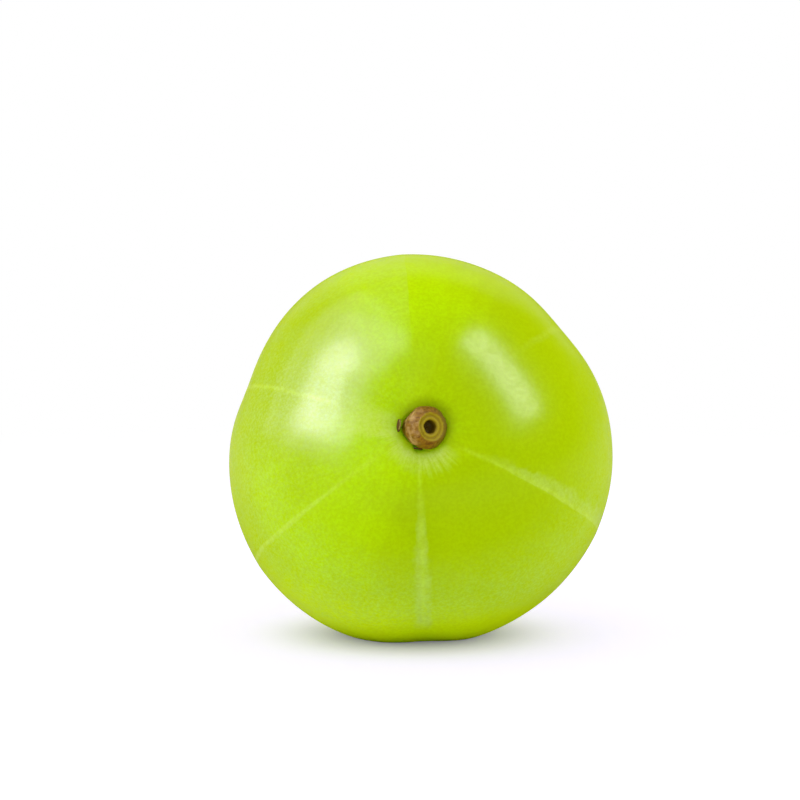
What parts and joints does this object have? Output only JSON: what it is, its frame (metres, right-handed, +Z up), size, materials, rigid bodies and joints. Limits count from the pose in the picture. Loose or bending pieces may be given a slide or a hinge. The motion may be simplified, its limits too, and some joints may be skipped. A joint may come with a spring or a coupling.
{
  "type": "indian gooseberry",
  "caption": "Round pale-green fruit, a little flattened at the ends, with faint seams, a hollow at the stem end holding a short cut brown stalk stub, and a small flat spot it rests on.",
  "frame": {"origin": "centre of the small flat spot that the fruit rests on", "axes": "+Z up, away from the surface it rests on; -Y is the stalk side, which the stem axis points to, raised 15.4 degrees; +X to the right seen from the stalk side"},
  "size_m": [0.0395, 0.0377, 0.0393],
  "materials": {
    "skin": "smooth waxy yellow-green skin, slightly see-through, with pale seams and fine pale speckles",
    "stalk": "matt brown bark with an ochre cut end",
    "sepal": "thin dried brown scale with a pale edge"
  },
  "bodies": {
    "root": {"fruit": "skin", "stalk_stub": "stalk", "sepal_remnant_left": "sepal", "sepal_remnant_lower": "sepal"}
  },
  "joints": []
}
